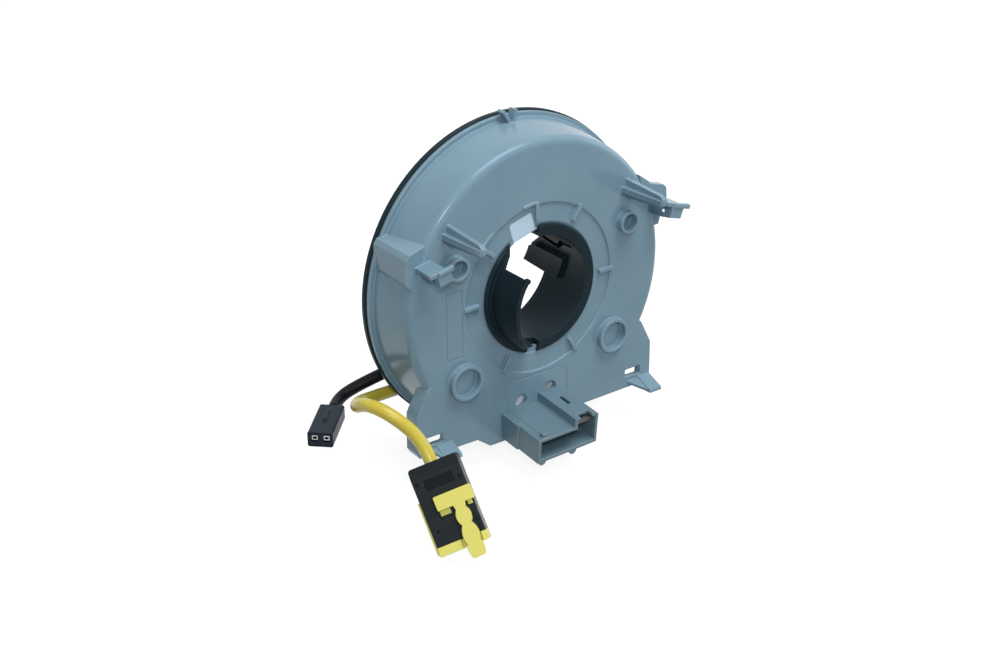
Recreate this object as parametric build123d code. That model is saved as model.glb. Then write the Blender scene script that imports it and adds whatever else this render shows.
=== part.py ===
from build123d import *
import math
import os

os.makedirs("parts", exist_ok=True)

# Steering clock spring, rebuilt at full size.
# Millimetres. +X right, +Y back towards the steering wheel, +Z up.
# The rotor axis runs along Y and the column side of the housing face is at Y = 0.
# Angles are seen from the column side, anticlockwise from +X.

# Housing cup
face_r = 48.7            # edge of the flat face
edge_round = 2.8         # rounding between face and side wall
wall_front_r = face_r + edge_round
wall_rear_r = 53.4       # draft of the side wall
rim_r = 55.0             # rear rim
rim_front_y = 17.6
housing_rear_y = 19.0
face_t = 2.2
wall_t = 1.8
recess_r = 29.6          # sunk ring around the bore
recess_depth = 0.6
seat_r = 22.8            # pocket for the sleeve's front ring
seat_y = 0.8
lip_r = 20.7             # lip that keeps the sleeve in

# Apron under the cup
apron_flange_t = 1.8
apron_depth = 6.0

# Index window and the pale plate in it
window_angle = 107
window_w = 9.5
window_outer_r = 27.3
plate_inner_r = 20.45
plate_front_y = 0.75
plate_side_gap = 0.1

# Hub sleeve
sleeve_bore_r = 18.6
sleeve_r = 20.1
ring_r = 22.4
ring_front_y = -0.5
ring_rear_y = 0.5
sleeve_rear_y = 20.0
guard_front_y = -14.2
guard_start, guard_end = 144, 252
ring_gap_start = 93

# Turning disc, drum and collar
running_gap = 0.3        # axial gap between turning and fixed parts
sleeve_fit = 0.05        # radial gap between sleeve and drum
disc_r = 55.5
disc_front_y = housing_rear_y + running_gap
disc_rear_y = disc_front_y + 2.3
drum_bore_r = sleeve_r + sleeve_fit
drum_r = 22.0
drum_front_y = face_t + 0.5
collar_inner_r = drum_r + 2.0
collar_t = 2.5
collar_r = collar_inner_r + collar_t
collar_rear_y = 27.0

# Lead box on the rear of the disc
box_left, box_right = -27.0, -6.0
box_low, box_high = -40.0, -21.0
box_rear_y = 31.0
box_wall = 1.5
lid_t = 1.5
screw_r = 1.1
screw_head_r = 2.1
screw_xs = (-24.0, -9.0)
screw_z = -30.5
yellow_z = -35.3
black_z = -26.0

# Flat ribbon cable
ribbon_inner_r = 28.8
ribbon_turns = 5
ribbon_pitch = 3.8
ribbon_t = 0.4
ribbon_front_y, ribbon_rear_y = 5.5, 17.5
ribbon_start_angle = -122

# Bosses, prongs, holes
upper_boss_xs, upper_boss_z = (-33.8, 35.6), 15.8
upper_boss_r, upper_hole_r = 3.95, 3.0
upper_boss_h, upper_floor_y = 2.8, 0.5
lower_boss_x, lower_boss_z = 30.7, -24.9
lower_boss_r, lower_hole_r, lower_boss_h = 6.2, 5.0, 2.4
prong_x, prong_z = 36.0, 27.1
liner_hole_r = 2.5
liner_holes = ((-7.5, -39.4), (4.7, -37.9))

# Socket on the lower edge
socket_front_y = -20.0
socket_back_y = -4.0     # floor of the cavity
pin_size = 0.64
pin_count = 8
pin_z = -46.5
pin_first_x, pin_last_x = -11.8, 5.8
socket_tilt = 4.5        # the mouth stands a little higher than the root

# Leads
yellow_lead_r = 2.15
black_lead_r = 2.05
bare_wire_r = 0.65
yellow_route = [(-25.6, 26.0, yellow_z), (-39.4, 26.2, -35.7), (-54.8, 24.5, -34.9),
                (-62.5, 14.2, -29.0), (-70.4, 1.8, -22.6), (-71.0, -5.6, -18.2),
                (-67.8, -13.7, -19.1), (-60.5, -20.2, -27.4), (-60.3, -24.6, -33.3)]
black_route = [(-25.6, 26.6, black_z), (-36.7, 26.8, -27.4), (-47.4, 29.2, -29.7),
               (-56.4, 31.5, -33.3), (-61.4, 29.7, -35.2), (-65.2, 25.5, -35.2)]

# Airbag plug, drawn on its own plane: x across, y from nose to lead, z off its top face
plug_end = yellow_route[-1]
plug_across = (0.8160, -0.4488, 0.3642)
lead_x = -0.4            # the lead enters left of the plug's middle
plug_w, plug_len, plug_t = 15.8, 25.0, 9.0
base_len = 2.9
tray_t = 1.6             # the yellow base runs on under the black body
tray_y = -11.0
lock_t = 1.3
lock_depth = 0.9
lock_travel = 3.0
lock_gap = 0.15
lock_left, lock_right = -3.4, 8.5
lock_rear, lock_front = -10.3, -14.8
stem_x = 3.4

# Horn plug
horn_w, horn_h, horn_len = 8.2, 5.2, 18.7
horn_axis = (-0.67, -0.74, 0)
horn_gap = 2.0           # bare wires between sheath and plug


def front(y):
    """Plane facing the viewer at depth y: local x is right, local y is up."""
    return Plane(origin=(0, y, 0), x_dir=(1, 0, 0), z_dir=(0, -1, 0))


def slab(face, y_front, y_rear):
    """Solid between two depths from a face drawn as seen from the front."""
    return extrude(front(y_rear) * face, y_rear - y_front)


def side_bar(points, x_left, x_right):
    """Solid between two x values from (y, z) points."""
    plane = Plane(origin=(x_left, 0, 0), x_dir=(0, 1, 0), z_dir=(1, 0, 0))
    return extrude(plane * shape(points), x_right - x_left)


def shape(points):
    """Closed face from a list of points."""
    return make_face(Polyline(*points, close=True))


def rect(x0, x1, y0, y1):
    """Rectangle face between two corners."""
    return Pos((x0 + x1) / 2, (y0 + y1) / 2) * Rectangle(abs(x1 - x0), abs(y1 - y0))


def block(x0, x1, y0, y1, z0, z1):
    """Box between two corners."""
    centre = Pos((x0 + x1) / 2, (y0 + y1) / 2, (z0 + z1) / 2)
    return centre * Box(abs(x1 - x0), abs(y1 - y0), abs(z1 - z0))


def sector(points, start, end):
    """Part of a turned body between two angles, from (radius, y) points."""
    return Rot(0, -end, 0) * revolve(shape(points), Axis.Y, end - start)


def ring(r_in, r_out, y_front, y_rear, start=0, end=360):
    """Plain turned ring or part of one."""
    return sector([(r_in, y_front), (r_out, y_front), (r_out, y_rear), (r_in, y_rear)], start, end)


def disc_hole(x, z, r, y_front, y_rear):
    """Round body along Y."""
    return slab(Pos(x, z) * Circle(r), y_front, y_rear)


def bend_radii(points):
    """Radius for each corner of a lead route, from its two runs and its turn."""
    vectors = [Vector(*b) - Vector(*a) for a, b in zip(points, points[1:])]
    radii = []
    for before, after in zip(vectors, vectors[1:]):
        turn = math.radians(before.get_angle(after))
        radii.append(0.45 * min(before.length, after.length) / math.tan(turn / 2))
    return radii


def lead(points, radius, name):
    """Round lead along straight runs joined by tangent arcs."""
    radii = bend_radii(points)
    print(name, "bend radii", [round(r, 1) for r in radii])
    path = FilletPolyline(*points, radius=radii)
    start = Plane(origin=path @ 0, z_dir=path % 0)
    solid = sweep(start * Circle(radius), path=path)
    print(name, "length", round(path.length, 1), "volume / (section x length)",
          round(solid.volume / (math.pi * radius ** 2 * path.length), 3))
    return solid


def save(solid, name):
    """Write one named piece."""
    print(name, "volume", round(solid.volume), "solids", len(solid.solids()))
    export_step(solid, "parts/" + name + ".step")


# Housing: turned cup with apron and ears, hollowed afterwards
with BuildLine() as cup_line:
    Line((0, 0), (face_r, 0))
    CenterArc((face_r, edge_round), edge_round, -90, 90)
    Line((wall_front_r, edge_round), (wall_rear_r, rim_front_y))
    Line((wall_rear_r, rim_front_y), (rim_r, rim_front_y))
    Line((rim_r, rim_front_y), (rim_r, housing_rear_y))
    Line((rim_r, housing_rear_y), (0, housing_rear_y))
    Line((0, housing_rear_y), (0, 0))
housing = revolve(make_face(cup_line.line), Axis.Y, 360)

apron_points = [(-40, -20), (-44.8, -24.2), (-49.4, -33.0), (-49.6, -46.0), (-48.6, -47.8),
                (-46.0, -48.3), (-25.6, -48.4), (-20.4, -52.3), (14.0, -52.4), (18.6, -48.6),
                (46.0, -48.3), (48.6, -47.8), (49.6, -46.0), (49.4, -33.0), (44.8, -24.2), (40, -20)]
apron_face = shape(apron_points)
housing += slab(apron_face, 0, face_t)
apron_inside = offset(apron_face, -apron_flange_t)
housing += slab(apron_face, 0, apron_depth) - slab(apron_inside, face_t, apron_depth)

# Ears on the side wall: a deep one on the left and a thin one on the right
left_ear = shape([(-44.5, 25.4), (-50.4, 23.5), (-51.6, 21.8), (-51.9, 14.4), (-51.2, 13.0),
                  (-48.6, 10.2), (-43, 12)])
right_ear = shape([(41.7, 30.3), (45.5, 27.7), (46.4, 26.6), (48.1, 26.0), (52.7, 24.8), (53.9, 23.7),
                   (54.4, 18.4), (52.0, 15.0), (51.0, 10.9), (46.0, 10.9)])
ear_front_y, right_ear_rear_y = 0.4, 3.4
housing += slab(left_ear, ear_front_y, housing_rear_y)
housing += slab(right_ear, ear_front_y, right_ear_rear_y)

# Chamber for the ribbon, bore, seat for the sleeve and the sunk ring
chamber_front_r = wall_front_r - wall_t
chamber_rear_r = wall_rear_r - wall_t
chamber = revolve(shape([(0, face_t), (chamber_front_r, face_t), (chamber_rear_r, housing_rear_y + 1),
                         (0, housing_rear_y + 1)]), Axis.Y, 360)
housing -= chamber
housing -= ring(0, lip_r, -1, face_t + 1)
housing -= ring(0, seat_r, -1, seat_y)
housing -= ring(0, recess_r, -1, recess_depth)

# Short ribs across the edge of the sunk ring
rib_w, rib_inner_r, rib_outer_r, rib_front_y = 1.3, 24.5, 30.6, -0.7
for angle in (0, 58, 94, 140, 180, 240, 300):
    rib = block(rib_inner_r, rib_outer_r, rib_front_y, 1.2, -rib_w / 2, rib_w / 2)
    housing += Rot(0, -angle, 0) * rib
for start, end in ((95, 104), (129, 139)):
    housing += ring(29.8, 30.9, -0.4, 0.8, start, end)

# Blind round bosses
for x in upper_boss_xs:
    housing += disc_hole(x, upper_boss_z, upper_boss_r, -upper_boss_h, 0.8)
    housing -= disc_hole(x, upper_boss_z, upper_hole_r, -upper_boss_h - 1, upper_floor_y)
for s in (-1, 1):
    housing += disc_hole(s * lower_boss_x, lower_boss_z, lower_boss_r, -lower_boss_h, 0.8)
    housing -= disc_hole(s * lower_boss_x, lower_boss_z, lower_hole_r, -lower_boss_h - 1, 0)

# Locating prongs: an upright blade crossed by a level one that tapers to the tip
blade_t, cross_t = 1.6, 2.0
prong_end_y = -18.8
blade_profile = [(0.8, 24.0), (0.8, 30.6), (-3.0, 30.4), (-17.2, 29.5), (prong_end_y, 28.4),
                 (prong_end_y, 26.4), (-17.0, 25.6)]
for s in (-1, 1):
    x = s * prong_x
    housing += side_bar(blade_profile, x - blade_t / 2, x + blade_t / 2)
    cross = shape([(-2.7, 0.8), (-2.6, 0), (-1.2, -18.3), (1.2, -18.3), (2.6, 0), (2.7, 0.8)])
    housing += Pos(x, 0, prong_z - cross_t / 2) * extrude(cross, cross_t)

# Snap hooks under the apron, each with a gusset on its left.
# The window above each hook runs on through the flange.
hook_drop = 20           # slope of the hooks in degrees
hooks = ((44.0, 49.2, 6.9, 5.4), (-41.9, -35.7, 5.4, 3.0))
for x0, x1, reach, gusset_w in hooks:
    drop = reach * math.tan(math.radians(hook_drop))
    tongue = [(0.6, -44.9), (-0.6, -45.4), (-reach, -45.4 - drop), (-reach - 0.4, -46.6 - drop),
              (-reach + 1.4, -46.8 - drop), (0.6, -47.6)]
    housing += side_bar(tongue, x0, x1)
    slope = math.radians(hook_drop)
    downwards = (0, math.sin(slope), -math.cos(slope))
    gusset_plane = Plane(origin=(0, 0, -45.7), x_dir=(1, 0, 0), z_dir=downwards)
    gusset = shape([(x0 - gusset_w, -0.6), (x0 + 0.5, -0.6), (x0 + 0.5, reach - 0.2), (x0, reach - 0.2)])
    housing += extrude(gusset_plane * gusset, 1.2)
for x0, x1 in ((38.1, 45.2), (-46.6, -39.2)):
    window = fillet(rect(x0, x1, -44.4, -41.2).vertices(), 0.7)
    housing -= slab(window, -1, face_t + 1)
    housing -= block(x0, x1 + 2.6, face_t, apron_depth + 1, -50, -41.2)

# Side clips: shelf, web with a small hole, and a front plate with a thick bar along its top
clip_tilt = 14.5
clips = ((-45.7, 19.8, clip_tilt, 8.4, 5.5), (49.2, 21.7, -clip_tilt, 9.3, 6.9))
for x, z, tilt, reach, bar_len in clips:
    front_y = -reach
    clip = block(-2.8, 2.9, front_y, 0.8, -1.4, 0)
    web = [(0.8, -0.8), (front_y, -0.8), (front_y, -5.2), (-5.5, -5.9), (0.8, -6.4)]
    clip += side_bar(web, -0.4, 0.8)
    plate = shape([(-0.4, -0.5), (-0.4, -5.2), (4.3, -5.2), (4.5, -3.0), (4.9, -1.2), (4.9, -0.5)])
    clip += slab(plate, front_y, front_y + 1.1)
    bar = block(0, bar_len, front_y - 0.6, front_y + 1.2, -1.7, 0)
    clip += fillet(bar.edges().filter_by(Axis.X), 0.5)
    clip -= side_bar([(-3.2, -4.3), (-6.0, -4.5), (-5.4, -2.7)], -1, 1.5)
    housing += Pos(x, 0, z) * Rot(0, -tilt, 0) * clip

# V-shaped pointer on top of the side wall
for tip_x in (-4.3, 0.8):
    direction = Vector(tip_x, 57.0) - Vector(-0.6, 51.6)
    across = Vector(-direction.Y, direction.X).normalized() * 0.5
    low = Vector(-0.6, 51.6)
    tip = Vector(tip_x, 57.0)
    corners = [low - across, tip - across, tip + across, low + across]
    housing += slab(shape([(p.X, p.Y) for p in corners]), 14.6, rim_front_y + 0.2)

# Index window, liner holes, pin window and the shallow bare frames
window_face = rect(plate_inner_r - 2, window_outer_r, -window_w / 2, window_w / 2)
outer_corners = window_face.vertices().sort_by(Axis.X)[-2:]
window_face = fillet(outer_corners, 1.2)
housing -= slab(Rot(0, 0, window_angle) * window_face, -1, face_t + 1)
for x, z in liner_holes:
    housing -= disc_hole(x, z, liner_hole_r, -1, face_t + 1)
pin_window = rect(pin_first_x - 0.9, pin_last_x + 0.9, pin_z - 1.0, pin_z + 1.0)
housing -= slab(pin_window, -1, face_t + 1)
groove_w, groove_depth = 0.3, 0.15
outline = make_face(Polyline((-13.6, -43.0), (-13.6, -32.4), (-12.0, -30.8), (9.0, -30.8), (12.0, -33.6),
                             (12.0, -43.0), close=True))
frame_face = rect(-37.3, -31.0, -16.2, 7.3)
for face in (outline, frame_face):
    housing -= slab(face - offset(face, -groove_w), -1, groove_depth)
save(housing, "housing")

# Pale index plate in the window
plate_w = window_w - 2 * plate_side_gap
plate_face = rect(plate_inner_r, window_outer_r - plate_side_gap, -plate_w / 2, plate_w / 2)
plate_face = fillet(plate_face.vertices().sort_by(Axis.X)[-2:], 1.1)
index_plate = slab(Rot(0, 0, window_angle) * plate_face, plate_front_y, face_t)
save(index_plate, "index_plate")

# White slippery sheet behind the face, open where the pins pass
liner_t = 0.4
face_liner = ring(24.0, chamber_front_r - 0.3, face_t, face_t + liner_t)
pin_gap = ring(42.8, chamber_front_r + 1, face_t - 1, face_t + 1, -130, -75)
face_liner -= pin_gap
save(face_liner, "face_liner")

# Socket shell: low left part and raised right part with a stepped cavity.
# It is drawn level, tilted and then cut flush with the face.
shell_rear_y = 3.0
shell_outline = shape([(-15.3, -52.0), (9.2, -51.4), (9.2, -40.5), (8.3, -39.6), (-0.5, -39.6),
                       (-0.5, -42.9), (-15.3, -43.1)])
cavity_outline = shape([(-14.3, -50.9), (8.2, -50.3), (8.2, -40.8), (0.7, -40.8), (0.7, -43.9),
                        (-14.3, -44.1)])
socket_shell = slab(shell_outline, socket_front_y, shell_rear_y)
socket_shell += block(-15.6, 9.2, -8.4, shell_rear_y, -52.3, -50)
socket_shell += block(-15.7, -15.0, -9.0, shell_rear_y, -52.3, -43.1)
socket_shell -= slab(cavity_outline, socket_front_y - 1, socket_back_y)
socket_shell -= block(1.6, 6.6, socket_front_y - 1, -17.4, -41.5, -39)
socket_shell -= block(3.3, 4.8, -10.9, -5.5, -41.5, -39)
for x in (-13.4, -0.7):
    socket_shell += disc_hole(x, -51.6, 1.5, socket_front_y, socket_front_y + 1.6)
socket_shell -= slab(cavity_outline, socket_front_y - 1, socket_back_y)
socket_shell += block(-13.4, -11.4, -19.4, -17.8, -43.4, -41.6)
socket_shell += side_bar([(-18, -43.3), (-18, -42.8), (-1, -42.8), (-1, -43.3)], -12.6, -12.2)
tilt_move = Pos(0, socket_front_y, pin_z) * Rot(socket_tilt, 0, 0) * Pos(0, -socket_front_y, -pin_z)
socket_shell = tilt_move * socket_shell
socket_shell -= block(-20, 20, 0, 2 * shell_rear_y, -60, -35)

# Straight tinned pins through the socket's back wall
pin_step = (pin_last_x - pin_first_x) / (pin_count - 1)
pin_tip_y = -13.5
pin_rear_y = 5.0
pins = []
for i in range(pin_count):
    x = pin_first_x + i * pin_step
    half = pin_size / 2
    pins.append(block(x - half, x + half, pin_tip_y, pin_rear_y, pin_z - half, pin_z + half))
for pin in pins:
    socket_shell -= pin
save(socket_shell, "socket_shell")
socket_pins = Compound(pins)
save(socket_pins, "socket_pins")

# Bar behind the latch notch
socket_lock_bar = tilt_move * block(0.75, 8.15, -18.4, -17.0, -43.2, -41.9)
save(socket_lock_bar, "socket_lock_bar")

# White block that takes the pins and the outer end of the ribbon
frame_r = chamber_front_r - 0.05
lead_frame = ring(frame_r - 6.4, frame_r, face_t + liner_t, 5.2, -128, -79)
lead_frame += ring(frame_r - 1.2, frame_r, 5.0, ribbon_rear_y, -127, -118)
for pin in pins:
    lead_frame -= pin
save(lead_frame, "lead_frame")

# Ribbon cable: half circles about two centres, so each turn is one pitch larger
shift = ribbon_pitch / 2


def ribbon_side(offset_r):
    """Half circles that make one face of the ribbon."""
    arcs = []
    radius = ribbon_inner_r
    for turn in range(ribbon_turns):
        arcs.append(CenterArc((0, 0), radius + offset_r, 0, 180))
        radius += shift
        arcs.append(CenterArc((shift, 0), radius + offset_r, 180, 180))
        radius += shift
    return arcs, radius


inner_arcs, ribbon_outer_r = ribbon_side(-ribbon_t / 2)
outer_arcs, ribbon_outer_r = ribbon_side(ribbon_t / 2)
caps = [Line(inner_arcs[0] @ 0, outer_arcs[0] @ 0), Line(inner_arcs[-1] @ 1, outer_arcs[-1] @ 1)]
ribbon_face = make_face(Curve() + inner_arcs + outer_arcs + caps)
ribbon_cable = Rot(0, -ribbon_start_angle, 0) * slab(ribbon_face, ribbon_front_y, ribbon_rear_y)
print("ribbon outer radius", ribbon_outer_r)
save(ribbon_cable, "ribbon_cable")

# Turning disc with winding drum, collar, ribs and lead box
disc_bevel = 0.5
disc_line = [(drum_bore_r, drum_front_y), (drum_r, drum_front_y), (drum_r, disc_front_y),
             (disc_r - disc_bevel, disc_front_y), (disc_r, disc_front_y + disc_bevel),
             (disc_r, disc_rear_y - disc_bevel), (disc_r - disc_bevel, disc_rear_y),
             (collar_r, disc_rear_y), (collar_r, collar_rear_y - disc_bevel),
             (collar_r - disc_bevel, collar_rear_y), (collar_inner_r, collar_rear_y),
             (collar_inner_r, disc_rear_y), (drum_bore_r, disc_rear_y)]
rotor_disc = revolve(shape(disc_line), Axis.Y, 360)
rib_root_y, rib_top_y = disc_rear_y - 0.2, disc_rear_y + 1.2
rib_ring_r, rib_half_w = 52.0, 0.7
for angle in range(0, 360, 30):
    disc_rib = block(collar_r - 0.5, rib_ring_r, rib_root_y, rib_top_y, -rib_half_w, rib_half_w)
    rotor_disc += Rot(0, -angle, 0) * disc_rib
rotor_disc += ring(rib_ring_r - 1.5, rib_ring_r, rib_root_y, rib_top_y)
rotor_disc += block(box_left, box_right, rib_root_y, box_rear_y, box_low, box_high)
rotor_disc -= block(box_left + box_wall, box_right - box_wall, disc_rear_y, box_rear_y + 1,
                    box_low + box_wall, box_high - box_wall)
for x in screw_xs:
    rotor_disc += disc_hole(x, screw_z, screw_head_r + 0.3, rib_root_y, box_rear_y)
    rotor_disc -= disc_hole(x, screw_z, screw_r, box_rear_y - 6, box_rear_y + 1)
lead_gap = 0.05
for route, r in ((yellow_route, yellow_lead_r), (black_route, black_lead_r)):
    inner_end = Vector(*route[0])
    outwards = (Vector(*route[1]) - inner_end).normalized()
    hole_plane = Plane(origin=inner_end - outwards * 1.5, z_dir=outwards)
    rotor_disc -= extrude(hole_plane * Circle(r + lead_gap), 5)
strip_slot = block(-18.7, -11.4, disc_front_y - 1, disc_rear_y + 0.5, -24.4, -22.5)
rotor_disc -= strip_slot
save(rotor_disc, "rotor_disc")

# Sheet on the inner face of the disc
disc_liner = ring(ribbon_inner_r + 2.2, chamber_rear_r - 2.4, disc_front_y - liner_t, disc_front_y)
save(disc_liner, "disc_liner")

# Brass strips from the ribbon's inner end through the disc to the leads
strip_w, strip_t = 1.2, 0.5
strip_front_y = 17.9
strip_z = -23.5
strip_rows = ((-17.6, -25.2, 26.8), (-15.9, -26.9, 26.8), (-14.2, -34.5, 26.2), (-12.5, -36.1, 26.2))
lead_end_x = yellow_route[0][0] + 0.2
strips = []
for x, z_end, y in strip_rows:
    half = strip_w / 2
    strip = block(x - half, x + half, strip_front_y, y, strip_z - strip_t / 2, strip_z + strip_t / 2)
    strip += block(x - half, x + half, y - strip_t, y, z_end - half, strip_z + strip_t / 2)
    strip += block(lead_end_x, x + half, y - strip_t, y, z_end - half, z_end + half)
    strips.append(strip)
rotor_busbars = Compound(strips)
save(rotor_busbars, "rotor_busbars")

# Block that holds the ribbon's inner end on the drum
ribbon_anchor = ring(drum_r + 0.02, ribbon_inner_r - 0.6, ribbon_front_y, strip_front_y, -131, -113)
ribbon_anchor += ring(drum_r + 0.02, 30.4, strip_front_y - 0.1, disc_front_y, -131, -113)
for strip in strips:
    ribbon_anchor -= strip
save(ribbon_anchor, "ribbon_anchor")

# Lid of the lead box with its two screws
lead_cover = block(box_left, box_right, box_rear_y, box_rear_y + lid_t, box_low, box_high)
lead_cover = chamfer(lead_cover.edges().filter_by(Axis.Y), 0.8)
for x in screw_xs:
    lead_cover -= disc_hole(x, screw_z, screw_r + 0.15, box_rear_y - 1, box_rear_y + lid_t + 1)
save(lead_cover, "lead_cover")
screws = []
lid_rear_y = box_rear_y + lid_t
for x in screw_xs:
    screw = disc_hole(x, screw_z, screw_r, box_rear_y - 5.5, lid_rear_y)
    screw += disc_hole(x, screw_z, screw_head_r, lid_rear_y, lid_rear_y + 1.2)
    screw -= block(x - 0.25, x + 0.25, lid_rear_y + 0.7, lid_rear_y + 2, screw_z - 1.3, screw_z + 1.3)
    screw -= block(x - 1.3, x + 1.3, lid_rear_y + 0.7, lid_rear_y + 2, screw_z - 0.25, screw_z + 0.25)
    screws.append(screw)
save(Compound(screws), "cover_screws")

# Hub sleeve: one turned tube with its front ring, cut back to guard wall, notch and tongue
bevel = 0.5
tongue_rear_y = 32.8
sleeve_line = [(sleeve_bore_r, guard_front_y), (sleeve_r, guard_front_y), (sleeve_r, ring_front_y),
               (ring_r - bevel, ring_front_y), (ring_r, ring_front_y + bevel), (ring_r, ring_rear_y),
               (sleeve_r, ring_rear_y), (sleeve_r, tongue_rear_y), (sleeve_bore_r, tongue_rear_y)]
hub_sleeve = sector(sleeve_line, 60, 420)
cut_in, cut_out = sleeve_bore_r - 1, ring_r + 1
low_wall_start, low_wall_y, notch_rear_y = 123, -1.7, 4.2
hub_sleeve -= ring(cut_in, cut_out, guard_front_y - 1, ring_front_y, guard_end, low_wall_start + 360)
low_wall_cut = ring(cut_in, cut_out, guard_front_y - 1, notch_rear_y, low_wall_start - 1, guard_start)
low_wall_top = shape([(-8, guard_front_y - 2), (-20, guard_front_y - 2), (-20, low_wall_y - 2.7),
                      (-15.6, low_wall_y), (-10.5, low_wall_y + 3.2), (-8, low_wall_y + 4.8)])
hub_sleeve -= (low_wall_cut & extrude(low_wall_top, 30)).solids()[0]
hub_sleeve -= ring(cut_in, cut_out, ring_front_y - 1, notch_rear_y, ring_gap_start, low_wall_start)
step_end = guard_start - 1
hub_sleeve -= ring(cut_in, sleeve_r + 0.3, ring_rear_y, notch_rear_y, low_wall_start - 1, step_end)
hub_sleeve -= ring(cut_in, cut_out, sleeve_rear_y, tongue_rear_y + 1, 27, 342)

# The guard wall's front edge sweeps back in a curve
with BuildLine() as sweep_line:
    ThreePointArc((-13.7, -4.0), (-10.3, -12.4), (-1.0, -19.1))
    Line((-1.0, -19.1), (-1.0, -26.0))
    Line((-1.0, -26.0), (-20.0, -26.0))
    Line((-20.0, -26.0), (-20.0, 16.0))
    Line((-20.0, 16.0), (-14.2, 16.0))
    Line((-14.2, 16.0), (-13.7, -4.0))
cut_plane = Plane(origin=(-24, 0, 0), x_dir=(0, 1, 0), z_dir=(1, 0, 0))
hub_sleeve -= extrude(cut_plane * make_face(sweep_line.line), 30)
hub_sleeve += disc_hole(-15.7, 11.2, 0.85, guard_front_y - 0.1, guard_front_y + 1.2)
slot_cut = block(-2.25, 2.25, ring_front_y - 1, 3.0, 17, 24)
hub_sleeve -= Rot(0, 189, 0) * slot_cut

# Drive tongue at the rear and the pad inside it, then the stepped slit beside them
tongue_side = side_bar([(sleeve_rear_y - 0.5, -5.2), (32.6, -3.4), (29.2, 2.5), (22.4, 7.6),
                        (sleeve_rear_y - 0.5, 8.5)], 10, 25)
hub_sleeve -= block(10, 25, sleeve_rear_y, tongue_rear_y + 1, -12, 12) - tongue_side
pad = ring(17.0, sleeve_r - 0.6, 9.7, 32, -20, 20)
pad_side = side_bar([(12.7, -5.0), (31.5, -4.0), (29.0, 1.8), (26.0, 3.0), (9.7, 3.0)], 10, 25)
hub_sleeve += (pad & pad_side).solids()[0]
zigzag = [(8.8, 8.6), (13.2, 5.6), (21.9, 7.2), (21.9, 8.8), (13.4, 7.2), (9.6, 10.2), (4.6, 9.7),
          (4.4, 8.6)]
hub_sleeve -= side_bar(zigzag, 10, 25)
save(hub_sleeve, "hub_sleeve")

# Leads
save(lead(yellow_route, yellow_lead_r, "yellow_lead"), "yellow_lead")
save(lead(black_route, black_lead_r, "black_lead"), "black_lead")

# Airbag plug: black body with a sloped lead end, recess for the lock, shallow panel, small holes
to_lead = (Vector(*yellow_route[-2]) - Vector(*plug_end)).normalized()
plug_origin = Vector(*plug_end) - Vector(*plug_across) * lead_x
plug_plane = Plane(origin=plug_origin, x_dir=plug_across, z_dir=Vector(*plug_across).cross(to_lead))
half_w, half_t = plug_w / 2, plug_t / 2
tray_z = -half_t + tray_t
lock_floor = half_t - lock_depth
slope_y = -3.7
plug_body = side_bar([(0, -half_t), (0, half_t - 1.5), (slope_y, half_t - 0.4), (slope_y, half_t),
                      (-plug_len, half_t), (-plug_len, tray_z), (tray_y, tray_z), (tray_y, -half_t)],
                     -half_w, half_w)
plug_body = fillet(plug_body.edges().filter_by(Axis.Z).group_by(Axis.Y)[-1], 1.0)
long_edges = plug_body.edges().filter_by(Axis.Y).filter_by(lambda e: e.center().Z > half_t - 0.1)
plug_body = chamfer(long_edges, 0.35)
recess_left, recess_front = lock_left - 0.9, lock_front - lock_travel
plug_body -= block(recess_left, half_w + 1, recess_front, lock_rear + lock_gap, lock_floor, half_t + 2)
stem_slot_w = 3.2
slot_left, slot_right = stem_x - stem_slot_w, stem_x + stem_slot_w
plug_body -= block(slot_left, slot_right, -plug_len - 1, lock_front, lock_floor, half_t + 2)
for x, y in ((-6.6, -5.2), (6.5, -7.4), (-5.8, -20.6), (6.7, -21.3)):
    plug_body -= block(x - 0.55, x + 0.55, y - 0.6, y + 0.6, half_t - 1.5, half_t + 1)
plug_body -= block(-4.7, 4.8, -8.0, -4.6, half_t - 0.2, half_t + 1)
mouths = ((stem_x - 2.2, stem_x + 2.2), (-half_w + 1.6, -0.9))
mouth_low, mouth_high, mouth_depth = tray_z, half_t - 2.2, 8.0
for x0, x1 in mouths:
    plug_body -= block(x0, x1, -plug_len - 1, -plug_len + mouth_depth, mouth_low, mouth_high)
posts = []
for x0, x1, y0 in ((-3.2, 0.2, -16.6), (5.8, 7.3, -16.2)):
    posts.append(block(x0, x1, y0, -13.2, tray_z - 0.5, lock_floor))
for post in posts:
    plug_body -= post
save(plug_plane * plug_body, "airbag_plug_body")

# Yellow base: nose with the mouths for the mating pins, and a tray under the body.
# Two posts of the tray show in the body's slots.
base_front = -plug_len - base_len
tray_edge = 0.5
plug_base = block(-half_w, half_w, base_front, -plug_len, -half_t, half_t)
plug_base += block(-half_w - tray_edge, half_w, base_front + 0.6, tray_y, -half_t, tray_z)
notch_left, notch_right = -0.3, 6.2
plug_base -= block(notch_left, notch_right, base_front - 1, -plug_len + 1, lock_floor - 0.4, half_t + 1)
for x0, x1 in mouths:
    plug_base -= block(x0, x1, base_front - 1, -plug_len + 1, mouth_low, mouth_high)
for post in posts:
    plug_base += post
save(plug_plane * plug_base, "airbag_plug_base")

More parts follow.
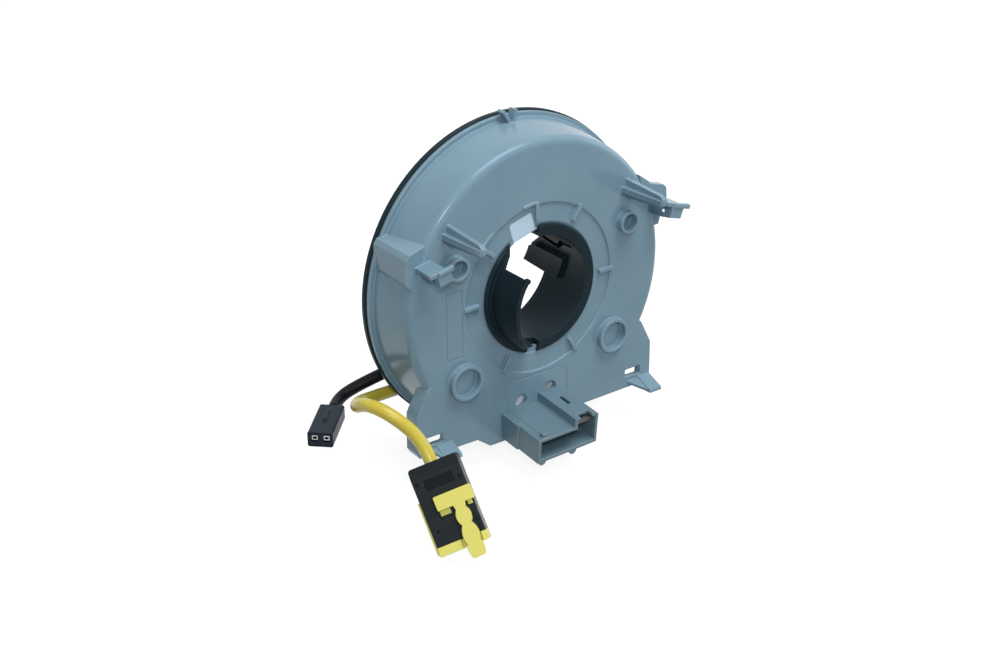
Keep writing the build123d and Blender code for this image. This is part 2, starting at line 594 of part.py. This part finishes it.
# Two spring contacts and the shorting clip inside the nose
contacts = []
contact_rear = -plug_len + mouth_depth
for x in (stem_x - 0.9, stem_x + 0.9):
    contacts.append(block(x - 0.4, x + 0.4, base_front + 1.2, contact_rear, mouth_low, mouth_low + 1.0))
save(plug_plane * Compound(contacts), "airbag_plug_terminals")
clip_left, clip_right, clip_leaf = -half_w + 2.4, -1.7, 0.5
clip_top = mouth_high - 0.6
shunt = block(clip_left, clip_right, base_front + 2, contact_rear, mouth_low, mouth_low + clip_leaf)
shunt += block(clip_left, clip_right, contact_rear - clip_leaf, contact_rear, mouth_low, clip_top)
shunt += block(clip_left, clip_right, base_front + 5, contact_rear, clip_top - clip_leaf, clip_top)
save(plug_plane * shunt, "airbag_plug_shunt")

# Sliding lock: cross bar, scalloped stem and end tab
lock_bar = rect(lock_left, lock_right, lock_front, lock_rear)
lock_bar = fillet(lock_bar.vertices(), 0.4)
neck_1, neck_2, neck_3 = (1.6, -16.4), (1.5, -21.3), (2.0, -27.4)
bulge_1, bulge_2 = (2.35, -18.9), (2.55, -24.2)


def stem_side(s):
    """One scalloped side of the lock's stem."""
    points = [(stem_x + s * x, y) for x, y in (neck_1, bulge_1, neck_2, bulge_2, neck_3)]
    start = (stem_x + s * 1.9, lock_front + 0.2)
    return [Line(start, points[0]), ThreePointArc(*points[0:3]), ThreePointArc(*points[2:5])]


right_side, left_side = stem_side(1), stem_side(-1)
stem_ends = [Line(right_side[0] @ 0, left_side[0] @ 0), Line(right_side[-1] @ 1, left_side[-1] @ 1)]
stem_face = make_face(Curve() + right_side + left_side + stem_ends)
tab = shape([(1.2, -27.3), (5.5, -27.3), (5.9, -28.6), (5.7, -30.6), (5.1, -31.6), (1.8, -31.7),
             (1.2, -31.0), (0.7, -28.4)])
lock_face = lock_bar + stem_face + tab
plug_lock = Pos(0, 0, lock_floor) * extrude(lock_face, lock_depth + lock_t)
save(plug_plane * plug_lock, "airbag_plug_lock")
print("lock slides along", [round(c, 5) for c in tuple(to_lead * -1)])

# Horn plug behind the short bare wires
axis = Vector(*horn_axis).normalized()
sheath_end = Vector(*black_route[-1])
horn_back = sheath_end + axis * horn_gap
horn_plane = Plane(origin=horn_back, x_dir=(axis.Y, -axis.X, 0), z_dir=axis)
horn_body = horn_plane * extrude(Rectangle(horn_w, horn_h), horn_len)
horn_body = fillet(horn_body.edges().filter_by(Axis((0, 0, 0), tuple(axis))), 0.7)
pole_x, wire_x = 1.9, 0.95
for s in (-1, 1):
    pocket = Pos(s * pole_x, -0.2, horn_len - 6) * extrude(Rectangle(2.2, 2.6), 7)
    horn_body -= horn_plane * pocket
    horn_body -= horn_plane * Pos(s * wire_x, 0, -0.1) * extrude(Circle(bare_wire_r + 0.05), 2.1)
horn_rib_sign = 1 if horn_plane.y_dir.Z > 0 else -1
rib_box = Pos(0.2, horn_rib_sign * (horn_h / 2 + 0.2), 4.2) * extrude(Rectangle(1.0, 0.8), 6.5)
horn_body += horn_plane * rib_box
save(horn_body, "horn_plug_body")
sockets = []
for s in (-1, 1):
    sleeve = extrude(Rectangle(1.9, 1.5) - Rectangle(1.3, 0.9), 5.2)
    sleeve += extrude(Rectangle(1.9, 2.6), 0.5)
    sockets.append(horn_plane * Pos(s * pole_x, -0.2, horn_len - 6) * sleeve)
save(Compound(sockets), "horn_plug_terminals")
wires = []
for s in (-1, 1):
    wire = extrude(Circle(bare_wire_r), horn_gap + 2.0)
    wires.append(horn_plane * Pos(s * wire_x, 0, -horn_gap) * wire)
save(Compound(wires), "horn_wires")
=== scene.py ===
import math

import bmesh
import bpy
from mathutils import Matrix, Vector


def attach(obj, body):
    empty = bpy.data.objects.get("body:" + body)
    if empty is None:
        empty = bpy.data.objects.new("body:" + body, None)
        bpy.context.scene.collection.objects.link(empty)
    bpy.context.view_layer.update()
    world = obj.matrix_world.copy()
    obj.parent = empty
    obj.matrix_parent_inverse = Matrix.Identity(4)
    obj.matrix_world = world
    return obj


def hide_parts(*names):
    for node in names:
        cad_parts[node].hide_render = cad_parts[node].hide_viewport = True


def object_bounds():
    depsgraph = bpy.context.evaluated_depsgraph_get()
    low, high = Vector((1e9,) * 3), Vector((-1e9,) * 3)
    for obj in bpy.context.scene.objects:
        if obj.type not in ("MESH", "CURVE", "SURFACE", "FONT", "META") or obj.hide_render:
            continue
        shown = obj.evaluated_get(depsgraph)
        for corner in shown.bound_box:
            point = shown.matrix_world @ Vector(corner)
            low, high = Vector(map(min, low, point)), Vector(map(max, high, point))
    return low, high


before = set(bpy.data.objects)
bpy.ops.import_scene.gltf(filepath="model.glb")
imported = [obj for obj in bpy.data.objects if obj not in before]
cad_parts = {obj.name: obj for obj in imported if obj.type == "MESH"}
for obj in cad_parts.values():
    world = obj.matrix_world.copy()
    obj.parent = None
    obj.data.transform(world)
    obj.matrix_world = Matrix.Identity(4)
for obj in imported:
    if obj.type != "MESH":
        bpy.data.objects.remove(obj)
cad_low, cad_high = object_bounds()
scene = bpy.context.scene
mm = 0.001

# Camera: above the part and to the left of its axis, as the photograph was taken.
# The sensor is 36 mm wide along the long side of the picture, and the lens is in mm too.
camera_place_mm = (-280.62, -362.56, 200.48)
camera_tilt_deg, camera_heading_deg = 64.68, -36.08
camera_data = bpy.data.cameras.new("camera")
camera_data.sensor_width = 36.0
camera_data.lens = 54.9
camera_data.clip_start = 0.01
camera = bpy.data.objects.new("camera", camera_data)
camera.location = [c * mm for c in camera_place_mm]
camera.rotation_euler = (math.radians(camera_tilt_deg), 0, math.radians(camera_heading_deg))
scene.collection.objects.link(camera)
scene.camera = camera

# Housing: grey-blue acetal cup, moulded in one with its face, rim, apron, clips and prongs.
# It is fixed to the switch unit by its hooks and clips. Acetal has a waxy, even shine, and the
# eroded mould leaves a fine satin skin on it.


def linear(hex_colour):
    """Linear colour for an sRGB hex value."""
    parts = [int(hex_colour[i:i + 2], 16) / 255 for i in (1, 3, 5)]
    return tuple(p / 12.92 if p <= 0.04045 else ((p + 0.055) / 1.055) ** 2.4
                 for p in parts) + (1.0,)


def add_node(tree, kind, inputs=None, **settings):
    """One node with its settings, its sockets given a value or linked to another's socket."""
    node = tree.nodes.new(kind)
    for name, value in settings.items():
        setattr(node, name, value)
    for socket, value in (inputs or {}).items():
        if isinstance(value, bpy.types.NodeSocket):
            tree.links.new(value, node.inputs[socket])
        else:
            node.inputs[socket].default_value = value
    return node


def new_finish(name):
    """Empty material with its tree and the part's own coordinates."""
    material = bpy.data.materials.new(name)
    material.use_nodes = True
    tree = material.node_tree
    tree.nodes.clear()
    place = add_node(tree, "ShaderNodeTexCoord").outputs["Object"]
    return material, tree, place


def finish_surface(tree, inputs):
    """Closes a tree with its surface shader."""
    surface = add_node(tree, "ShaderNodeBsdfPrincipled", inputs)
    add_node(tree, "ShaderNodeOutputMaterial", {"Surface": surface.outputs[0]})


def dress(node_name, material):
    """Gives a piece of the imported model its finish."""
    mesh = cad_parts[node_name].data
    mesh.materials.clear()
    mesh.materials.append(material)


# Sockets of a colour mix, which go by number because their names are used more than once
mix_share, mix_from, mix_to, mixed = 0, 6, 7, 2


def moulded(name, colour, dark_colour, edge_highlight_colour, roughness, grain_mm, edge_mm=0.35, shine=0.5,
            shine_colour="#FFFFFF"):
    """Injection moulded plastic: fine grain, faint flow clouds, and soft edges painted lighter as
    a highlight.

    The real grain is under 0.1 mm and is drawn at grain_mm, as it wouldn't show otherwise.
    """
    cloud_mm, cloud_share = 22, 0.6
    grain_height_mm, grain_strength = 0.05, 0.1
    # Painted highlight: how far the edge colour is laid on, by the cosine of the turn at a
    # softened edge
    edge_highlight_start, edge_highlight_end, edge_highlight_share = 0.98, 0.8, 0.7      # cosine of the turn at a softened edge
    smoother, rougher = 0.05, 0.06
    plastic_ior = 1.49
    material, tree, place = new_finish(name)
    cloud = add_node(tree, "ShaderNodeTexNoise", {
        "Vector": place, "Scale": 1 / (cloud_mm * mm), "Detail": 5.0, "Roughness": 0.6})
    share = add_node(tree, "ShaderNodeMapRange", {
        "Value": cloud.outputs[0], "From Min": 0.4, "From Max": 0.7, "To Min": 0.0,
        "To Max": cloud_share})
    tint = add_node(tree, "ShaderNodeMix", {
        mix_share: share.outputs[0], mix_from: linear(colour), mix_to: linear(dark_colour)},
        data_type="RGBA")
    soft = add_node(tree, "ShaderNodeBevel", {"Radius": edge_mm * mm}, samples=6)
    true = add_node(tree, "ShaderNodeNewGeometry")
    turn = add_node(tree, "ShaderNodeVectorMath", {
        0: soft.outputs[0], 1: true.outputs["Normal"]}, operation="DOT_PRODUCT")
    # Painted highlight along the edges, lighter where the softened normal turns from the true one
    edge_highlight = add_node(tree, "ShaderNodeMapRange", {
        "Value": turn.outputs["Value"], "From Min": edge_highlight_start, "From Max": edge_highlight_end, "To Min": 0.0,
        "To Max": edge_highlight_share})
    highlighted_tone = add_node(tree, "ShaderNodeMix", {
        mix_share: edge_highlight.outputs[0], mix_from: tint.outputs[mixed], mix_to: linear(edge_highlight_colour)},
        data_type="RGBA")
    grain = add_node(tree, "ShaderNodeTexNoise", {
        "Vector": place, "Scale": 1 / (grain_mm * mm), "Detail": 3.0})
    skin = add_node(tree, "ShaderNodeBump", {
        "Height": grain.outputs[0], "Normal": soft.outputs[0], "Strength": grain_strength,
        "Distance": grain_height_mm * mm})
    gloss = add_node(tree, "ShaderNodeMapRange", {
        "Value": cloud.outputs[0], "From Min": 0.3, "From Max": 0.7,
        "To Min": roughness - smoother, "To Max": roughness + rougher})
    finish_surface(tree, {
        "Base Color": highlighted_tone.outputs[mixed], "Roughness": gloss.outputs[0],
        "Normal": skin.outputs[0], "IOR": plastic_ior, "Specular IOR Level": shine,
        "Specular Tint": linear(shine_colour)})
    return material


# The third colour of each moulded finish is a painted highlight on its edges
acetal = moulded("moulded_acetal_grey", "#809EAF", "#7593A4", "#AEC4D0", roughness=0.2,
                 grain_mm=0.5, edge_mm=0.55, shine_colour="#BCD9E8")
dress("housing", acetal)

# Socket for the switch unit's plug: glass-filled nylon shell, joined to the lower edge of the
# face, with a small brown lock bar behind its notch. The glass makes nylon dry and dull, and
# it is a shade darker than the housing.
nylon = moulded("glass_filled_nylon_grey", "#6D8794", "#627C89", "#A6BAC4", roughness=0.36,
                grain_mm=0.4, edge_mm=0.6, shine_colour="#BCD9E8")
brown_nylon = moulded("glass_filled_nylon_brown", "#5B585B", "#4B494C", "#7C797C",
                      roughness=0.45, grain_mm=0.4)
dress("socket_shell", nylon)
dress("socket_lock_bar", brown_nylon)

# Plate in the window, slippery sheets and carrier block: unfilled acetal, pale blue or white.
# The plate sits behind the window, and the sheets line both sides of the ribbon's chamber.
# All are thin and waxy, and the white sheets are painted a little brighter to make up for the
# shade in the holes they show through.
pale_acetal = moulded("moulded_acetal_pale_blue", "#CDE9FE", "#C4E1F7", "#E2F1FC",
                      roughness=0.3, grain_mm=0.6)
dress("index_plate", pale_acetal)
# Painted light: near-white, a little brighter than the plastic, against the shade in the holes
white_sheet = moulded("acetal_sheet_white", "#EEF4F9", "#E4EBF1", "#F6F9FB", roughness=0.35,
                      grain_mm=0.8)
for name in ("face_liner", "disc_liner", "lead_frame"):
    dress(name, white_sheet)

# Turning side: moulded black acetal disc and hub sleeve, with the lead box, its lid and the
# ribbon's anchor. The sleeve is pushed into the disc's drum, and both turn with the wheel.
# Black acetal is satin with a blue-grey shine, and its paler edges are a painted highlight.
black_acetal = moulded("moulded_acetal_black", "#1F2D34", "#1A272D", "#43555F", roughness=0.3,
                       grain_mm=0.6, edge_mm=0.4, shine=0.1, shine_colour="#A8CBDA")
for name in ("rotor_disc", "hub_sleeve", "ribbon_anchor", "lead_cover"):
    dress(name, black_acetal)

# Metal pieces: stamped pins and contacts of tinned bronze, brass strips, and the zinc plated
# screws of the lid. The pins and contacts are pressed into their plastic.
# A thin tarnish lies on them in clouds, so they are bright in places and never like a mirror.


def bare_metal(name, colour, roughness, grain_mm):
    """Stamped or plated metal: thin tarnish clouds on a fine skin.

    The real skin is under 0.1 mm and is drawn at grain_mm, as it wouldn't show otherwise.
    """
    tarnish_mm, tarnish_colour, tarnish_share = 3, "#6E675C", 0.35
    skin_height_mm, skin_strength = 0.02, 0.15
    smoother, rougher = 0.05, 0.1
    material, tree, place = new_finish(name)
    tarnish = add_node(tree, "ShaderNodeTexNoise", {
        "Vector": place, "Scale": 1 / (tarnish_mm * mm), "Detail": 4.0})
    tone = add_node(tree, "ShaderNodeMapRange", {
        "Value": tarnish.outputs[0], "From Min": 0.4, "From Max": 0.7, "To Min": 0.0,
        "To Max": tarnish_share})
    tint = add_node(tree, "ShaderNodeMix", {
        mix_share: tone.outputs[0], mix_from: linear(colour), mix_to: linear(tarnish_colour)},
        data_type="RGBA")
    grain = add_node(tree, "ShaderNodeTexNoise", {
        "Vector": place, "Scale": 1 / (grain_mm * mm), "Detail": 2.0})
    skin = add_node(tree, "ShaderNodeBump", {
        "Height": grain.outputs[0], "Strength": skin_strength, "Distance": skin_height_mm * mm})
    gloss = add_node(tree, "ShaderNodeMapRange", {
        "Value": tarnish.outputs[0], "From Min": 0.3, "From Max": 0.7,
        "To Min": roughness - smoother, "To Max": roughness + rougher})
    finish_surface(tree, {
        "Base Color": tint.outputs[mixed], "Roughness": gloss.outputs[0],
        "Normal": skin.outputs[0], "Metallic": 1.0})
    return material


tin = bare_metal("tinned_bronze", "#C9CACC", roughness=0.25, grain_mm=0.3)
for name in ("socket_pins", "airbag_plug_terminals", "airbag_plug_shunt", "horn_plug_terminals"):
    dress(name, tin)
brass = bare_metal("rolled_brass", "#C9A45A", roughness=0.28, grain_mm=0.3)
dress("rotor_busbars", brass)
zinc = bare_metal("zinc_plated_steel", "#B9BBBD", roughness=0.35, grain_mm=0.25)
dress("cover_screws", zinc)

# Ribbon: flat copper tracks laminated between two films of amber polyester, wound loosely on
# the drum, with one end on the drum and the other on the housing's carrier block.
# The film is glossy and takes its warm colour from the copper, and its edge is thin.
ribbon_film = moulded("laminated_polyester_amber", "#C79A55", "#B98B47", "#DDB878",
                      roughness=0.2, grain_mm=1.2, edge_mm=0.1)
dress("ribbon_cable", ribbon_film)

# Airbag plug: black moulded nylon body, yellow nose with a side wall, and the yellow lock that
# slides on it. Its lead goes in at the sloped end. Unfilled nylon is dense and slightly shiny,
# and the field on top is drier and darker.


def plug_block(name, low_mm, high_mm, edge_mm, material):
    """Small block on the airbag plug, in its own directions: across, to the lead, and up."""
    block = bmesh.new()
    bmesh.ops.create_cube(block, size=1.0)
    size = [(high - low) * mm for low, high in zip(low_mm, high_mm)]
    centre = [(high + low) / 2 * mm for low, high in zip(low_mm, high_mm)]
    bmesh.ops.scale(block, verts=block.verts, vec=size)
    bmesh.ops.translate(block, verts=block.verts, vec=centre)
    bmesh.ops.bevel(block, geom=block.edges[:], offset=edge_mm * mm, affect="EDGES", segments=2,
                    profile=0.5, material=-1)
    bmesh.ops.transform(block, matrix=plug_place, verts=block.verts)
    data = bpy.data.meshes.new(name)
    block.to_mesh(data)
    block.free()
    data.materials.append(material)
    piece = bpy.data.objects.new(name, data)
    scene.collection.objects.link(piece)
    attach(piece, "rotor")
    return piece


plug_black = moulded("moulded_nylon_black", "#21272B", "#192024", "#454E53", roughness=0.3,
                     grain_mm=0.4, shine=0.12)
plug_yellow = moulded("moulded_nylon_yellow", "#EBE572", "#E1DA67", "#F1EC98", roughness=0.4,
                      grain_mm=0.5)
dull_black = moulded("moulded_nylon_dull_black", "#13181D", "#0F1317", "#252B31",
                     roughness=0.5, grain_mm=0.4, edge_mm=0.2, shine=0.1)
dress("airbag_plug_body", plug_black)
dress("airbag_plug_base", plug_yellow)
dress("airbag_plug_lock", plug_yellow)
plug_middle = Vector((-60.3, -24.6, -33.3))      # where the lead ends
lead_side = Vector((-60.5, -20.2, -27.4))        # the lead's last corner
plug_across = Vector((0.8160, -0.4488, 0.3642)).normalized()
plug_up = plug_across.cross(lead_side - plug_middle).normalized()
plug_turn = Matrix((plug_across, plug_up.cross(plug_across), plug_up)).transposed()
lead_offset_mm = 0.4                             # from the lead to the plug's own middle
plug_place = (Matrix.Translation((plug_middle + plug_across * lead_offset_mm) * mm)
              @ plug_turn.to_4x4())
side_wall = plug_block("airbag_plug_side_wall", (-8.6, -27.2, -3.5), (-7.8, -10.4, 3.5),
                       edge_mm=0.15, material=plug_yellow)
blank_field = plug_block("airbag_plug_blank_field", (-4.6, -7.9, 4.2), (4.7, -4.7, 4.36),
                         edge_mm=0.02, material=dull_black)

# Horn plug: moulded polyester body in navy-black with two bright contacts, on two thin brown
# PVC wires that come out of the cut end of the black sheath.
# Polyester is smooth with a cool satin shine, and the wires' bare insulation is duller.


def sheath(name, colour, worn_colour, scuff_colour, roughness, shine=0.5):
    """PVC sheath: even colour with soft darker blotches and paler scuffs, on a fine skin.

    The real skin is under 0.2 mm and is drawn at skin_mm, as it wouldn't show otherwise.
    """
    blotch_mm, blotch_share = 9, 0.55
    scuff_mm, scuff_share = 4, 0.6
    skin_mm, skin_height_mm, skin_strength = 0.7, 0.05, 0.12
    smoother, rougher = 0.06, 0.08
    pvc_ior = 1.53
    material, tree, place = new_finish(name)
    blotch = add_node(tree, "ShaderNodeTexNoise", {
        "Vector": place, "Scale": 1 / (blotch_mm * mm), "Detail": 4.0})
    share = add_node(tree, "ShaderNodeMapRange", {
        "Value": blotch.outputs[0], "From Min": 0.45, "From Max": 0.75, "To Min": 0.0,
        "To Max": blotch_share})
    tint = add_node(tree, "ShaderNodeMix", {
        mix_share: share.outputs[0], mix_from: linear(colour), mix_to: linear(worn_colour)},
        data_type="RGBA")
    rubbing = add_node(tree, "ShaderNodeTexNoise", {
        "Vector": place, "Scale": 1 / (scuff_mm * mm), "Detail": 6.0, "Roughness": 0.7})
    rubbed = add_node(tree, "ShaderNodeMapRange", {
        "Value": rubbing.outputs[0], "From Min": 0.56, "From Max": 0.68, "To Min": 0.0,
        "To Max": scuff_share})
    skin_tone = add_node(tree, "ShaderNodeMix", {
        mix_share: rubbed.outputs[0], mix_from: tint.outputs[mixed],
        mix_to: linear(scuff_colour)}, data_type="RGBA")
    grain = add_node(tree, "ShaderNodeTexNoise", {
        "Vector": place, "Scale": 1 / (skin_mm * mm), "Detail": 3.0})
    skin = add_node(tree, "ShaderNodeBump", {
        "Height": grain.outputs[0], "Strength": skin_strength, "Distance": skin_height_mm * mm})
    gloss = add_node(tree, "ShaderNodeMapRange", {
        "Value": blotch.outputs[0], "From Min": 0.3, "From Max": 0.7,
        "To Min": roughness - smoother, "To Max": roughness + rougher})
    finish_surface(tree, {
        "Base Color": skin_tone.outputs[mixed], "Roughness": gloss.outputs[0],
        "Normal": skin.outputs[0], "IOR": pvc_ior, "Specular IOR Level": shine})
    return material


navy_polyester = moulded("moulded_polyester_navy", "#1F2A38", "#18222D", "#4A5967",
                         roughness=0.32, grain_mm=0.4, edge_mm=0.5, shine=0.1)
dress("horn_plug_body", navy_polyester)
brown_pvc = sheath("brown_wire_insulation", "#3A241A", "#2A1A12", "#4A352A", roughness=0.45)
dress("horn_wires", brown_pvc)

# Leads to the wheel: soft PVC sheaths round fine wires, yellow for the airbag, black for the
# horn. They leave the lead box at the rear of the disc and bend round the housing's edge.
# Extruded PVC is smooth with a soft shine, and gets pale scuffs where it is handled.


def hang_lead(name, route_mm, diameter_mm, material):
    """Lead on a smooth line through the route's points up to its plug, in place of the model's own
    lead, which it hides.
    """
    line = bpy.data.curves.new(name, "CURVE")
    line.dimensions = "3D"
    spline = line.splines.new("NURBS")
    spline.points.add(len(route_mm) - 1)
    for point, place in zip(spline.points, route_mm):
        point.co = (place[0] * mm, place[1] * mm, place[2] * mm, 1)
    spline.order_u = 3
    spline.use_endpoint_u = True
    line.resolution_u = 16
    line.bevel_depth = diameter_mm / 2 * mm
    line.bevel_resolution = 7
    line.use_fill_caps = True
    lead = bpy.data.objects.new(name, line)
    scene.collection.objects.link(lead)
    line.materials.append(material)
    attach(lead, "rotor")
    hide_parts(name.replace("_sheath", ""))


yellow_route = [(-25.6, 26.0, -35.3), (-39.4, 26.2, -35.7), (-54.8, 24.5, -34.9),
                (-62.5, 14.2, -29.0), (-70.4, 1.8, -22.6), (-71.0, -5.6, -18.2),
                (-67.8, -13.7, -19.1), (-60.5, -20.2, -27.4), (-60.3, -24.6, -33.3)]
black_route = [(-25.6, 26.6, -26.0), (-36.9, 26.8, -27.6), (-47.9, 29.0, -30.5),
               (-56.6, 31.3, -33.9), (-61.7, 29.6, -35.3), (-65.2, 25.5, -35.2)]
yellow_pvc = sheath("yellow_pvc_sheath", "#D5C640", "#C9A930", "#C2BD96", roughness=0.3)
black_pvc = sheath("black_pvc_sheath", "#101319", "#181C24", "#2B3036", roughness=0.42,
                   shine=0.12)
hang_lead("yellow_lead_sheath", yellow_route, diameter_mm=4.3,
          material=yellow_pvc)
hang_lead("black_lead_sheath", black_route, diameter_mm=4.1,
          material=black_pvc)

# Floor: a plain sheet of white paper, laid just under the lowest piece.
# The camera sees it as white, except in the part's shadow, and it throws little light back.


def seen_share(tree):
    """One for what the camera sees, also in gloss or through glass, and nought for other light."""
    path = add_node(tree, "ShaderNodeLightPath")
    mirrored = add_node(tree, "ShaderNodeMath", {
        0: path.outputs["Is Camera Ray"], 1: path.outputs["Is Glossy Ray"]}, operation="MAXIMUM")
    looked_at = add_node(tree, "ShaderNodeMath", {
        0: mirrored.outputs[0], 1: path.outputs["Is Transmission Ray"]}, operation="MAXIMUM")
    return looked_at.outputs[0]


floor_gap_mm = 0.5
floor_half_side_m = 4.0
seen_glow = 0.87
floor_z = cad_low.z - floor_gap_mm * mm
floor_mesh = bmesh.new()
bmesh.ops.create_grid(floor_mesh, x_segments=1, y_segments=1, size=floor_half_side_m)
bmesh.ops.translate(floor_mesh, verts=floor_mesh.verts, vec=(0, 0, floor_z))
floor_data = bpy.data.meshes.new("studio_floor")
floor_mesh.to_mesh(floor_data)
floor_mesh.free()
floor = bpy.data.objects.new("studio_floor", floor_data)
scene.collection.objects.link(floor)
paper, paper_tree, _ = new_finish("white_paper")
diffuse = add_node(paper_tree, "ShaderNodeBsdfDiffuse", {"Color": linear("#9C9C9C")})
glow = add_node(paper_tree, "ShaderNodeEmission", {
    "Color": linear("#FFFFFF"), "Strength": seen_glow})
both = add_node(paper_tree, "ShaderNodeAddShader", {0: diffuse.outputs[0], 1: glow.outputs[0]})
choice = add_node(paper_tree, "ShaderNodeMixShader", {
    0: seen_share(paper_tree), 1: diffuse.outputs[0], 2: both.outputs[0]})
add_node(paper_tree, "ShaderNodeOutputMaterial", {"Surface": choice.outputs[0]})
floor_data.materials.append(paper)

# Studio light: an even room that is seen as white, and a large soft lamp above the part.
# A small one above and behind the camera draws the bright streak on the housing's rounding,
# and a weak one on the right lifts the shade on that side.
room_level, backdrop_level = 0.3, 1.0
world = bpy.data.worlds.new("studio_room")
scene.world = world
world.use_nodes = True
world_tree = world.node_tree
world_tree.nodes.clear()
level = add_node(world_tree, "ShaderNodeMapRange", {
    "Value": seen_share(world_tree), "To Min": room_level, "To Max": backdrop_level})
backdrop = add_node(world_tree, "ShaderNodeBackground", {
    "Color": linear("#FFFFFF"), "Strength": level.outputs[0]})
add_node(world_tree, "ShaderNodeOutputWorld", {"Surface": backdrop.outputs[0]})


def soft_lamp(name, place, aim, size, power):
    """Square lamp that looks at a point, in metres and watts."""
    lamp_data = bpy.data.lights.new(name, "AREA")
    lamp_data.size = size
    lamp_data.energy = power
    lamp = bpy.data.objects.new(name, lamp_data)
    lamp.location = place
    lamp.rotation_euler = (Vector(aim) - Vector(place)).to_track_quat("-Z", "Y").to_euler()
    scene.collection.objects.link(lamp)


middle = (cad_low + cad_high) / 2
soft_lamp("key_lamp", (0.1, -0.3, 0.85), middle, size=0.5, power=5.6)
soft_lamp("front_lamp", (-0.48, -0.7, 0.56), middle, size=0.12, power=2.4)
soft_lamp("side_lamp", (0.85, -0.1, 0.25), middle, size=0.5, power=0.8)

scene.view_settings.view_transform = "Standard"
